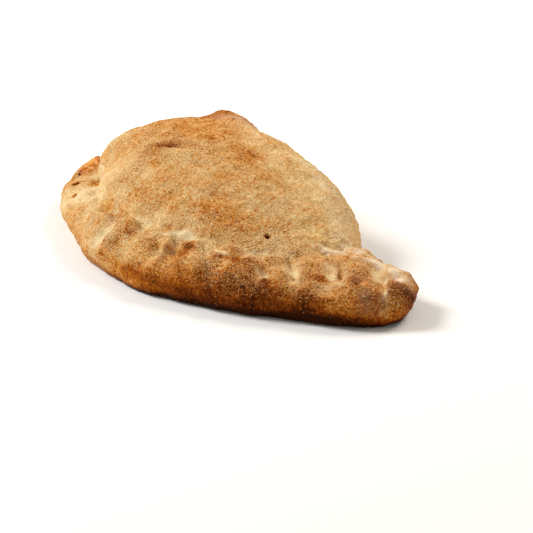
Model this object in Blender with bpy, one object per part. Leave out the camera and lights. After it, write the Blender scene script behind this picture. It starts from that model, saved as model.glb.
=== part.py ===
# Panzerotto: a round of dough folded over its filling and pinched shut, then baked.
# Metres, +Z up. The pointed end is at +X, the pinched edge at -Y and the fold at +Y.
# The origin is on the flat base, below the middle of the outer box.

import bpy
import numpy as np

mm = 0.001

# Widest outline seen from above, in mm: from the pointed end along the pinched edge,
# round the blunt corner and back along the fold. A smooth closed curve joins the points.
outline = (
    (153, -3), (140, -27), (111, -45), (77, -64), (31, -79), (-17, -77),
    (-67, -60), (-112, -38), (-137, -9), (-156, 16), (-139, 43), (-105, 69),
    (-52, 76), (0, 61), (52, 60), (84, 36), (115, 27), (143, 21),
)

# The filled pocket is an oval mound on the dough, in mm
pocketCentre = (-15.0, 16.0)
pocketHalfLength = {"corner": 103.0, "tip": 109.0}
pocketHalfWidth = {"front": 72.0, "back": 61.0}
pocketSquareness = {"front": 2.2, "frontCorner": 1.5, "backCorner": 4.0, "backTip": 2.2}
crownHeight = 65.0
crownDrop = 22.0            # how much lower the crown is at the tip end
crownFlatness = 3.0
flankRound = {"front": 1.15, "back": 1.6}

# The pinched rim round the pocket, in mm
rimHeight = {"side": 23.5, "tip": 21.0, "corner": 23.5}    # half way from edge to seam
seamHeight = {"side": 27.0, "tip": 22.5, "corner": 24.0}
edgeHeight = 11.0           # height of the widest line on the pinched side
foldEdgeHeight = 13.5       # and on the folded side
baseInset = {"pinched": 6.0, "folded": 12.0}
sectionReach = {"side": 34.0, "tip": 24.0, "corner": 26.0}
footHeight = 20.0

# Pinches along the edge: distance from the tip, depth, half width, and how far the pinch
# drifts to the corner between edge and seam, all in mm
pinches = (
    (57, 2.6, 5, -2), (76, 2.2, 6, 0), (111, 2.8, 5, 20), (137, 2.9, 6, 12), (152, 1.6, 4, 8),
    (174, 2.4, 5, 8), (201, 2.2, 6, 9), (236, 1.8, 7, 9), (259, 2.2, 7, 9), (284, 2.0, 7, 9),
    (306, 1.8, 8, 9),
)

# Single swellings and dents: x, y, half length, half width, turn in degrees, height
swellings = (
    (-63, 62, 25, 13, -12, 8.0),    # blister on the back of the crown
    (-20, 51, 12, 9, 0, -5.0),      # drop at the tip end of the blister
    (-52, 26, 40, 24, 0, 1.2),      # fuller shoulder
    (-93, -8, 13, 13, 0, 4.4),     # shoulder of the lobe over the blunt corner
    (-134, -4, 16, 9, 60, 2.2),
    (-3, -62, 10, 8, 20, 2.4),      # thumb shaped lump
    (129, -12, 11, 8, -30, 1.6),
    (150, 0, 9, 12, 0, 1.8),        # knob at the tip
    (143, 16, 12, 8, -20, 0.9),
    (129, 20, 10, 6, 0, 1.8),
    (108, 14, 26, 4, -6, 1.8),      # fold ridge
    (140, -2, 14, 3.0, -40, -2.6),  # groove behind the knob
    (116, -13, 15, 6, -42, -3.2),   # valley across the pointed end
    (-22, -15, 22, 4, 10, -1.3),    # crease across the crown
    (-14, -20, 24, 4, 12, 1.0),
)

sectionCount = 124
baseRows, sideRows, rimRows, crownRows = 3, 5, 9, 13
bodyColour = (0.62, 0.36, 0.15)


def eased(low, high, x):
    t = np.clip((x - low) / (high - low), 0, 1)
    return t * t * (3 - 2 * t)


def softened(values, waves):
    """Values round the outline with the short waves taken out."""
    spectrum = np.fft.rfft(values, axis=0)
    order = np.arange(len(spectrum)).reshape([-1] + [1] * (values.ndim - 1))
    return np.fft.irfft(spectrum * np.exp(-(order / waves) ** 2), len(values), axis=0)


def closedCurve(points, count):
    """Cubic curve through the points, its slopes weighted by chord length, at even distances."""
    p = np.array(points, float)
    n = len(p)
    step = np.arange(n * 64) / 64.0
    i = step.astype(int)
    f = (step - i)[:, None]
    p0, p1, p2, p3 = p[(i - 1) % n], p[i % n], p[(i + 1) % n], p[(i + 2) % n]
    before, here, after = (
        np.linalg.norm(b - a, axis=1, keepdims=True) for a, b in ((p0, p1), (p1, p2), (p2, p3))
    )
    slope1 = ((p1 - p0) / before * here + (p2 - p1) / here * before) / (before + here) * here
    slope2 = ((p2 - p1) / here * after + (p3 - p2) / after * here) / (here + after) * here
    curve = (2 * f**3 - 3 * f**2 + 1) * p1 + (f**3 - 2 * f**2 + f) * slope1
    curve = curve + (-2 * f**3 + 3 * f**2) * p2 + (f**3 - f**2) * slope2
    curve = np.vstack([curve, curve[:1]])
    along = np.concatenate([[0], np.cumsum(np.linalg.norm(np.diff(curve, axis=0), axis=1))])
    even = np.linspace(0, along[-1], count + 1)[:-1]
    return np.stack([np.interp(even, along, curve[:, c]) for c in (0, 1)], 1), even, along[-1]


def ovalDistance(x, y):
    """1 on the foot of the pocket, 0 at its centre."""
    dx = x - pocketCentre[0]
    dy = y - pocketCentre[1]
    a = np.where(dx < 0, pocketHalfLength["corner"], pocketHalfLength["tip"])
    b = np.where(dy < 0, pocketHalfWidth["front"], pocketHalfWidth["back"])
    square = pocketSquareness
    diagonal = np.sin(2 * np.arctan2(np.abs(dy / b), np.abs(dx / a))) ** 2
    frontCorner = square["front"] + (square["frontCorner"] - square["front"]) * diagonal
    front = np.where(dx < 0, frontCorner, square["front"])
    back = np.where(dx < 0, square["backCorner"], square["backTip"])
    power = np.where(dy < 0, front, back)
    return (np.abs(dx / a) ** power + np.abs(dy / b) ** power) ** (1 / power)


def pinchDepth(s, length, r):
    """Grooves across the rim: r is 0 on the widest line and 1 on the seam."""
    total = np.zeros(np.broadcast(s, r).shape)
    for place, depth, width, lean in pinches:
        away = s - place - lean * (r - 0.4)
        away = (away + length / 2) % length - length / 2
        total = total + depth * np.exp(-((away / width) ** 2))
    return total * eased(0.0, 0.55, r) * (1 - eased(0.8, 1.02, r))


def swellingHeight(x, y):
    total = np.zeros(x.shape)
    for cx, cy, halfLong, halfWide, turn, height in swellings:
        c, s = np.cos(np.radians(turn)), np.sin(np.radians(turn))
        u = ((x - cx) * c + (y - cy) * s) / halfLong
        v = ((y - cy) * c - (x - cx) * s) / halfWide
        total = total + height * np.exp(-((u**2 + v**2) ** 1.4))
    return total


def rowPlaces():
    """Places along a section: 0 base centre, 1 base edge, 2 widest line, 3 seam, 4 crown."""
    base = np.linspace(0, 1, baseRows + 1)[:-1]
    side = 1 + np.linspace(0, 1, sideRows + 1)[:-1]
    rim = 2 + np.linspace(0, 1, rimRows + 1)[:-1]
    crown = 3 + np.linspace(0, 1, crownRows + 1)
    return np.concatenate([base, side, rim, crown])


def doughSurface(sections, rows):
    """Loft of unlike sections: each starts square to the outline and bends to the pocket's middle."""
    edge, s, length = closedCurve(outline, sections)
    centre = np.array(pocketCentre)
    tangent = softened(np.roll(edge, -1, 0) - np.roll(edge, 1, 0), 14)
    normal = np.stack([-tangent[:, 1], tangent[:, 0]], 1)
    normal /= np.linalg.norm(normal, axis=1, keepdims=True)
    normal *= np.sign(((edge - centre) * normal).sum(1).mean())
    ex, ey = edge[:, :1], edge[:, 1:]
    nx, ny = normal[:, :1], normal[:, 1:]
    tip = eased(63, 118, ex)
    corner = 1 - eased(-142, -102, ex)

    def blended(sizes):
        """A size that changes from the sides to the tip and to the corner."""
        return sizes["side"] * (1 - tip - corner) + sizes["tip"] * tip + sizes["corner"] * corner

    reach = blended(sectionReach)

    bend = softened(edge - normal * reach, 16)

    def placed(k, inward):
        """Point of a section: k from 0 at the outline to 1 at the pocket's middle."""
        bx, by = ex - nx * inward, ey - ny * inward
        mx, my = bend[:, :1] - nx * inward, bend[:, 1:] - ny * inward
        x = (1 - k) ** 2 * bx + 2 * k * (1 - k) * mx + k**2 * centre[0]
        y = (1 - k) ** 2 * by + 2 * k * (1 - k) * my + k**2 * centre[1]
        return x, y

    # where each section meets the foot of the pocket
    tries = np.linspace(0, 0.9, 181)[None, :] * np.ones_like(ex)
    distance = ovalDistance(*placed(tries, 0))
    hit = np.argmax(distance < 1, axis=1)
    line = np.arange(sections)
    before = np.maximum(hit - 1, 0)
    d0, d1 = distance[line, before], distance[line, hit]
    part = np.where(hit > 0, (d0 - 1) / np.maximum(d0 - d1, 1e-6), 0)
    foot = tries[line, before] + (tries[line, hit] - tries[line, before]) * part
    foot = np.clip(softened(foot, 24), 0, 1)[:, None]
    pinched = np.clip(softened(eased(0.02, 0.24, foot), 20), 0, 1)
    cover = np.minimum(softened(np.minimum(ovalDistance(ex, ey), 1), 30), 1)

    crest = blended(rimHeight)
    seam = blended(seamHeight)
    widest = edgeHeight * pinched + foldEdgeHeight * (1 - pinched)
    start = seam * pinched + widest * (1 - pinched)
    inset = baseInset["pinched"] * pinched + baseInset["folded"] * (1 - pinched)

    # a folded section has no rim, so its side takes the rim's rows
    places = rows[None, :]
    widestAt = 2 + 0.95 * (1 - pinched)
    onBase = np.clip(places, 0, 1)
    onSide = np.clip((places - 1) / (widestAt - 1), 0, 1) * np.pi / 2
    onRim = np.clip((places - widestAt) / (3 - widestAt), 0, 1)
    onCrown = np.clip(places - 3, 0, 1) ** 1.35
    k = np.where(places < 3, foot * (0.5 - 0.5 * np.cos(np.pi * onRim)), foot + (1 - foot) * onCrown)
    x, y = placed(k, inset * (1 - np.sin(onSide)))
    x = np.where(places < 1, centre[0] + (ex - nx * inset - centre[0]) * onBase, x)
    y = np.where(places < 1, centre[1] + (ey - ny * inset - centre[1]) * onBase, y)
    arch = (crest - widest - (start - widest) * 0.7071) * pinched
    rim = widest + (start - widest) * np.sin(np.pi / 2 * onRim) + arch * np.sin(np.pi * onRim)
    steep = 1 - (1 - eased(-45, 45, y) * (1 - 0.5 * eased(40, 100, x))) * eased(-130, -30, x)
    flank = flankRound["front"] + (flankRound["back"] - flankRound["front"]) * steep
    r = ovalDistance(x, y)
    r = np.clip(r + (1 - cover) * np.clip(r / cover, 0, 1) ** 6, 0, 1)
    top = crownHeight - crownDrop * eased(-27, 103, x)
    mound = footHeight + (top - footHeight) * (1 - r**crownFlatness) ** (1 / flank)
    mound = mound + (start - footHeight) * r**8
    z = np.where(places < widestAt, widest * (1 - np.cos(onSide)), np.where(places < 3, rim, mound))

    # swellings and pinches push out along the surface
    across = onSide * 2 / np.pi - 1 + onRim + 2 * onCrown
    slope = np.pi / 2 * eased(-0.8, 0.6, across)
    lift = swellingHeight(x, y) * eased(-0.6, 0.2, across)
    lift = lift - pinchDepth(s[:, None], length, across) * pinched
    lift = lift * (places > 1)
    x = x + nx * np.cos(slope) * lift
    y = y + ny * np.cos(slope) * lift
    z = z + np.sin(slope) * lift
    return x, y, z


def loftMesh(name, x, y, z):
    """Closed mesh of the grid, its first and last rows drawn together to a point."""
    sections, rows = x.shape
    points = np.stack([x, y, z], -1)
    inner = points[:, 1:-1].reshape(-1, 3)
    low, high = points[:, 0].mean(0), points[:, -1].mean(0)
    vertices = np.vstack([inner, low, high])
    bands = rows - 2
    i = np.arange(sections)[:, None]
    j = np.arange(bands - 1)[None, :]
    nextI = (i + 1) % sections
    quads = np.stack(
        [i * bands + j, i * bands + j + 1, nextI * bands + j + 1, nextI * bands + j], -1
    ).reshape(-1, 4)
    lowIndex, highIndex = len(inner), len(inner) + 1
    i = i[:, 0]
    nextI = nextI[:, 0]
    lowFan = np.stack([np.full(sections, lowIndex), i * bands, nextI * bands], 1)
    highFan = np.stack(
        [np.full(sections, highIndex), nextI * bands + bands - 1, i * bands + bands - 1], 1
    )
    faces = quads.tolist() + lowFan.tolist() + highFan.tolist()
    mesh = bpy.data.meshes.new(name)
    mesh.from_pydata(vertices.tolist(), [], faces)
    mesh.update()
    return mesh


def makeMaterial(name, colour, roughness):
    material = bpy.data.materials.new(name)
    material.use_nodes = True
    shader = material.node_tree.nodes["Principled BSDF"]
    shader.inputs["Base Color"].default_value = (*colour, 1.0)
    shader.inputs["Roughness"].default_value = roughness
    shader.inputs["Metallic"].default_value = 0.0
    return material


def makeDough(collection):
    x, y, z = doughSurface(sectionCount, rowPlaces())
    x = x - (x.min() + x.max()) / 2
    y = y - (y.min() + y.max()) / 2
    mesh = loftMesh("dough", x * mm, y * mm, z * mm)
    mesh.materials.append(makeMaterial("crust", bodyColour, 0.62))
    dough = bpy.data.objects.new("dough", mesh)
    collection.objects.link(dough)
    mesh.shade_smooth()
    return dough


def main():
    for old in list(bpy.data.objects):
        bpy.data.objects.remove(old)
    collection = bpy.data.collections.new("panzerotto")
    bpy.context.scene.collection.children.link(collection)
    makeDough(collection)


if __name__ == "__main__":
    main()
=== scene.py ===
import math

import bpy
import numpy as np
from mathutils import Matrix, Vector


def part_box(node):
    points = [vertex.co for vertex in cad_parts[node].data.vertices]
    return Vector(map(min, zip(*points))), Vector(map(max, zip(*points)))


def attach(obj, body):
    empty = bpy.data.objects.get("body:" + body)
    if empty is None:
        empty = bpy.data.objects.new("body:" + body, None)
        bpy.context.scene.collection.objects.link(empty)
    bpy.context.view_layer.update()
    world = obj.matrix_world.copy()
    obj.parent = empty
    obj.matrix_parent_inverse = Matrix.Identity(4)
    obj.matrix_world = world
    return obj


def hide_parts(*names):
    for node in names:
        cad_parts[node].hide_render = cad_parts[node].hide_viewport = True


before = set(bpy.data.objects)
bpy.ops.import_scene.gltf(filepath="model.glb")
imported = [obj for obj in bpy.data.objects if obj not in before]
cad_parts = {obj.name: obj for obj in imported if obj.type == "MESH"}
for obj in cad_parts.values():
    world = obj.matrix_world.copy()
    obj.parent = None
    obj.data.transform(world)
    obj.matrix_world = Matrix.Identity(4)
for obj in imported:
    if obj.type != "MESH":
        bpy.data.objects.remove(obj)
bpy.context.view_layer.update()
mm = 0.001


dough = {
    # widest outline from above in mm, from the pointed end along the pinched edge and back along the fold
    "outline": (
        (153, -3), (140, -27), (111, -45), (77, -64), (31, -79), (-17, -77),
        (-67, -60), (-112, -38), (-137, -9), (-156, 16), (-139, 43), (-105, 69),
        (-52, 76), (0, 61), (52, 60), (84, 36), (115, 27), (143, 21),
    ),
    "centre": (-15.0, 16.0),
    "halfLength": {"corner": 103.0, "tip": 109.0},
    "halfWidth": {"front": 72.0, "back": 61.0},
    "squareness": {"front": 2.2, "frontCorner": 1.5, "backCorner": 4.0, "backTip": 2.2},
    "crown": 65.0,
    "crownDrop": 22.0,                 # how much lower the crown is at the tip end
    "crownFall": (-27, 103),           # and between which x it falls
    "crownRows": 1.35,                 # above 1, rows lie closer on the pocket's flank
    "flatness": 3.0,
    "flank": {  # a larger number makes the pocket's side steeper; the corner's is as steep as the back
        "front": 1.15, "back": 1.6, "backFrom": (-45, 45), "cornerTo": (-130, -30),
        "tipFrom": (40, 100), "tipShare": 0.5,
    },
    "rim": {"side": 23.5, "tip": 21.0, "corner": 23.5},   # height of the rim half way to the seam
    "seam": {"side": 27.0, "tip": 22.5, "corner": 24.0},  # height of the seam
    "edge": {"pinched": 11.0, "folded": 13.5},            # height of the widest line
    "baseInset": {"pinched": 6.0, "folded": 12.0},        # how far the base lies inside the widest line
    "reach": {"side": 34.0, "tip": 24.0, "corner": 26.0},  # how far a section runs square to the edge
    "tipFrom": (63, 118),              # the tip's sizes come in between these x
    "cornerTo": (-142, -102),          # and the corner's go out between these
    "foot": 20.0,                      # height the mound starts from
    "footPower": 8,                    # a larger one brings it to the seam's height later
    "coverPower": 6,                   # the same where the edge lies inside the pocket's oval
    "footSearch": (0.9, 181),          # how far along a section its foot is looked for, and in how many tries
    "pinchedFrom": (0.02, 0.24),       # from fold to pinch, by the share of a section outside the pocket
    "foldWidest": 0.95,                # how much of the rim's rows the folded side takes for its round edge
    "waves": {"way": 14, "reach": 16, "foot": 24, "pinched": 20, "cover": 30},  # kept when softening
    "pinchFactor": 1.2,
    "pinchDrift": 0.4,                 # share of the rim where a pinch is at its stated place
    "pinchIn": (0.0, 0.55),            # shares of the rim between which a pinch deepens and ends
    "pinchOut": (0.8, 1.02),
    "swellingIn": (-0.6, 0.2),         # where on a section swellings come in
    "swellingUp": (-0.8, 0.6),         # and where their push turns from sideways to upward
    "swellingEdge": 1.4,
    "sections": 460,
    "rows": {"base": 8, "side": 32, "rim": 62, "crown": 106},
}

# pinches along the edge: distance from the tip, depth, half width and drift to the corner, in mm
pinches = (
    (57, 2.6, 5, -2), (76, 2.2, 6, 0), (111, 2.8, 5, 20), (137, 2.9, 6, 12), (152, 1.6, 4, 8),
    (174, 2.4, 5, 8), (201, 2.2, 6, 9), (236, 1.8, 7, 9), (259, 2.2, 7, 9), (284, 2.0, 7, 9),
    (306, 1.8, 8, 9),
)

# swellings and dents: x, y, half length, half width, turn in degrees, height in mm
swellings = (
    (-63, 62, 25, 13, -12, 8.0),    # blister on the back of the crown
    (-20, 51, 12, 9, 0, -5.0),      # drop at the tip end of the blister
    (-52, 26, 40, 24, 0, 1.2),      # fuller shoulder
    (-93, -8, 13, 13, 0, 4.4),      # shoulder of the lobe over the blunt corner
    (-134, -4, 16, 9, 60, 2.2),     # that corner's upper face
    (-3, -62, 10, 8, 20, 2.4),      # thumb shaped lump
    (129, -12, 11, 8, -30, 1.6),    # toasted lump
    (150, 0, 9, 12, 0, 1.8),        # knob at the tip
    (143, 16, 12, 8, -20, 0.9),     # back of the tip
    (129, 20, 10, 6, 0, 1.8),
    (108, 14, 26, 4, -6, 1.8),      # fold ridge
    (140, -2, 14, 3.0, -40, -2.6),  # groove behind the knob
    (116, -13, 15, 6, -42, -3.2),   # valley across the pointed end
    (-22, -15, 22, 4, 10, -1.3),    # crease across the crown
    (-14, -20, 24, 4, 12, 1.0),     # swelling in front of it
)


def eased(low, high, x):  # smooth step: 0 up to low, 1 from high on
    t = np.clip((x - low) / (high - low), 0, 1)
    return t * t * (3 - 2 * t)


def softened(values, waves):
    # values round a loop, wave number n of their spectrum weakened by exp(-(n / waves)^2)
    spectrum = np.fft.rfft(values, axis=0)
    order = np.arange(len(spectrum)).reshape([-1] + [1] * (values.ndim - 1))
    return np.fft.irfft(spectrum * np.exp(-(order / waves) ** 2), len(values), axis=0)


def closedCurve(points, count):
    # cubic through the points, each slope weighted by the chords beside it, read off at even distances
    p = np.array(points, float)
    n = len(p)
    pieces = 64  # to each stretch between two points
    step = np.arange(n * pieces) / pieces
    i = step.astype(int)
    f = (step - i)[:, None]
    p0, p1, p2, p3 = p[(i - 1) % n], p[i % n], p[(i + 1) % n], p[(i + 2) % n]
    before, here, after = (
        np.linalg.norm(b - a, axis=1, keepdims=True) for a, b in ((p0, p1), (p1, p2), (p2, p3))
    )
    slope1 = ((p1 - p0) / before * here + (p2 - p1) / here * before) / (before + here) * here
    slope2 = ((p2 - p1) / here * after + (p3 - p2) / after * here) / (here + after) * here
    curve = (2 * f**3 - 3 * f**2 + 1) * p1 + (f**3 - 2 * f**2 + f) * slope1
    curve = curve + (-2 * f**3 + 3 * f**2) * p2 + (f**3 - f**2) * slope2
    curve = np.vstack([curve, curve[:1]])
    along = np.concatenate([[0], np.cumsum(np.linalg.norm(np.diff(curve, axis=0), axis=1))])
    even = np.linspace(0, along[-1], count + 1)[:-1]
    return np.stack([np.interp(even, along, curve[:, c]) for c in (0, 1)], 1), even, along[-1]


def ovalDistance(x, y):
    # (|dx / a|^n + |dy / b|^n)^(1 / n), 0 at the pocket's centre and 1 on its foot, with n by quarter
    dx = x - dough["centre"][0]
    dy = y - dough["centre"][1]
    a = np.where(dx < 0, dough["halfLength"]["corner"], dough["halfLength"]["tip"])
    b = np.where(dy < 0, dough["halfWidth"]["front"], dough["halfWidth"]["back"])
    sq = dough["squareness"]
    diagonal = np.sin(2 * np.arctan2(np.abs(dy / b), np.abs(dx / a))) ** 2
    frontCorner = sq["front"] + (sq["frontCorner"] - sq["front"]) * diagonal
    front = np.where(dx < 0, frontCorner, sq["front"])
    power = np.where(dy < 0, front, np.where(dx < 0, sq["backCorner"], sq["backTip"]))
    return (np.abs(dx / a) ** power + np.abs(dy / b) ** power) ** (1 / power)


def spot(x, y, cx, cy, halfLong, halfWide, turn=0.0, edge=1.0):
    # exp(-(u^2 + v^2)^edge) over a turned ellipse: 1 in its middle, and steeper with a larger edge
    c, s = math.cos(math.radians(turn)), math.sin(math.radians(turn))
    u = ((x - cx) * c + (y - cy) * s) / halfLong
    v = ((y - cy) * c - (x - cx) * s) / halfWide
    return np.exp(-((u * u + v * v) ** edge))


def wavyNoise(x, y, z, size, seed, count=22):
    # sum of count sines in random directions, about one unit high, its waves roughly size mm long
    local = np.random.default_rng(seed)
    total = np.zeros(np.broadcast(x, y, z).shape)
    for _ in range(count):
        way = local.normal(size=3)
        way /= np.linalg.norm(way)
        k = 2 * np.pi / (size * local.uniform(0.7, 1.5))
        total += np.sin(k * (way[0] * x + way[1] * y + way[2] * z) + local.uniform(0, 6.283))
    return total / math.sqrt(count / 2)


def pinchDepth(s, length, r):
    # sum of bells along the edge that drift as r goes from 0 on the widest line to 1 on the seam
    total = np.zeros(np.broadcast(s, r).shape)
    for place, depth, width, lean in pinches:
        away = s - place - lean * (r - dough["pinchDrift"])
        away = (away + length / 2) % length - length / 2
        total += depth * np.exp(-((away / width) ** 2))
    return total * eased(*dough["pinchIn"], r) * (1 - eased(*dough["pinchOut"], r))


def rowPlaces():
    # even steps between 0 base centre, 1 base edge, 2 widest line, 3 seam and 4 top of the crown
    counts = dough["rows"]
    parts = [k + np.linspace(0, 1, counts[n] + 1)[:-1] for k, n in enumerate(("base", "side", "rim"))]
    return np.concatenate(parts + [3 + np.linspace(0, 1, counts["crown"] + 1)])


def doughSurface(sections, rows):
    # A point is S(section, row): the section starts square to the outline and bends to the pocket's
    # centre as a quadratic curve, and the row sets its height from base, side, rim and mound in turn.
    edge, s, length = closedCurve(dough["outline"], sections)
    centre = np.array(dough["centre"])
    waves = dough["waves"]
    tangent = softened(np.roll(edge, -1, 0) - np.roll(edge, 1, 0), waves["way"])
    normal = np.stack([-tangent[:, 1], tangent[:, 0]], 1)
    normal /= np.linalg.norm(normal, axis=1, keepdims=True)
    normal *= np.sign(((edge - centre) * normal).sum(1).mean())
    ex, ey = edge[:, :1], edge[:, 1:]
    nx, ny = normal[:, :1], normal[:, 1:]
    tip = eased(*dough["tipFrom"], ex)
    corner = 1 - eased(*dough["cornerTo"], ex)

    def blended(sizes):  # a size of the side, tip and corner, each by its share
        return sizes["side"] * (1 - tip - corner) + sizes["tip"] * tip + sizes["corner"] * corner

    bend = softened(edge - normal * blended(dough["reach"]), waves["reach"])

    def placed(k, inward):  # (1-k)^2 edge + 2k(1-k) bend + k^2 centre, edge and bend moved inward
        bx, by = ex - nx * inward, ey - ny * inward
        mx, my = bend[:, :1] - nx * inward, bend[:, 1:] - ny * inward
        x = (1 - k) ** 2 * bx + 2 * k * (1 - k) * mx + k**2 * centre[0]
        y = (1 - k) ** 2 * by + 2 * k * (1 - k) * my + k**2 * centre[1]
        return x, y

    tries = np.linspace(0, *dough["footSearch"])[None, :] * np.ones_like(ex)
    distance = ovalDistance(*placed(tries, 0))
    hit = np.argmax(distance < 1, axis=1)
    line = np.arange(sections)
    before = np.maximum(hit - 1, 0)
    d0, d1 = distance[line, before], distance[line, hit]
    part = np.where(hit > 0, (d0 - 1) / np.maximum(d0 - d1, 1e-6), 0)
    foot = tries[line, before] + (tries[line, hit] - tries[line, before]) * part
    foot = np.clip(softened(foot, waves["foot"]), 0, 1)[:, None]  # where a section meets the pocket's foot
    pinched = np.clip(softened(eased(*dough["pinchedFrom"], foot), waves["pinched"]), 0, 1)
    cover = np.minimum(softened(np.minimum(ovalDistance(ex, ey), 1), waves["cover"]), 1)
    crest, seam = blended(dough["rim"]), blended(dough["seam"])
    widest = dough["edge"]["pinched"] * pinched + dough["edge"]["folded"] * (1 - pinched)
    start = seam * pinched + widest * (1 - pinched)
    inset = dough["baseInset"]["pinched"] * pinched + dough["baseInset"]["folded"] * (1 - pinched)

    places = rows[None, :]
    widestAt = 2 + dough["foldWidest"] * (1 - pinched)
    onBase = np.clip(places, 0, 1)
    onSide = np.clip((places - 1) / (widestAt - 1), 0, 1) * np.pi / 2
    onRim = np.clip((places - widestAt) / (3 - widestAt), 0, 1)
    onCrown = np.clip(places - 3, 0, 1) ** dough["crownRows"]
    k = np.where(places < 3, foot * (0.5 - 0.5 * np.cos(np.pi * onRim)), foot + (1 - foot) * onCrown)
    x, y = placed(k, inset * (1 - np.sin(onSide)))
    x = np.where(places < 1, centre[0] + (ex - nx * inset - centre[0]) * onBase, x)
    y = np.where(places < 1, centre[1] + (ey - ny * inset - centre[1]) * onBase, y)
    halfWay = 0.7071  # height of the rim's quarter sine in its middle
    arch = (crest - widest - (start - widest) * halfWay) * pinched
    rim = widest + (start - widest) * np.sin(np.pi / 2 * onRim) + arch * np.sin(np.pi * onRim)
    flank = dough["flank"]
    atBack = eased(*flank["backFrom"], y) * (1 - flank["tipShare"] * eased(*flank["tipFrom"], x))
    steep = 1 - (1 - atBack) * eased(*flank["cornerTo"], x)
    flank = flank["front"] + (flank["back"] - flank["front"]) * steep
    r = ovalDistance(x, y)
    r = np.clip(r + (1 - cover) * np.clip(r / cover, 0, 1) ** dough["coverPower"], 0, 1)
    top = dough["crown"] - dough["crownDrop"] * eased(*dough["crownFall"], x)
    mound = dough["foot"] + (top - dough["foot"]) * (1 - r ** dough["flatness"]) ** (1 / flank)
    mound = mound + (start - dough["foot"]) * r ** dough["footPower"]
    z = np.where(places < widestAt, widest * (1 - np.cos(onSide)), np.where(places < 3, rim, mound))

    across = onSide * 2 / np.pi - 1 + onRim + 2 * onCrown
    slope = np.pi / 2 * eased(*dough["swellingUp"], across)
    lift = np.zeros(x.shape)
    for cx, cy, halfLong, halfWide, turn, height in swellings:
        lift += height * spot(x, y, cx, cy, halfLong, halfWide, turn, dough["swellingEdge"])
    lift = lift * eased(*dough["swellingIn"], across)
    groove = pinchDepth(s[:, None], length, across) * pinched * dough["pinchFactor"]
    lift = (lift - groove) * (places > 1)
    x = x + nx * np.cos(slope) * lift
    y = y + ny * np.cos(slope) * lift
    z = z + np.sin(slope) * lift
    return {"x": x, "y": y, "z": z, "s": s[:, None] + 0 * x, "across": across + 0 * x,
            "groove": groove, "pinched": pinched + 0 * x, "places": places + 0 * x}


def gridNormals(x, y, z):
    # cross product of the steps along both parameters, turned outward and made one long
    p = np.stack([x, y, z], -1)
    a = np.roll(p, -1, 0) - np.roll(p, 1, 0)
    b = np.gradient(p, axis=1)
    n = np.cross(a, b)
    size = np.linalg.norm(n, axis=2, keepdims=True)
    return -n / np.maximum(size, 1e-9)


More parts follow.
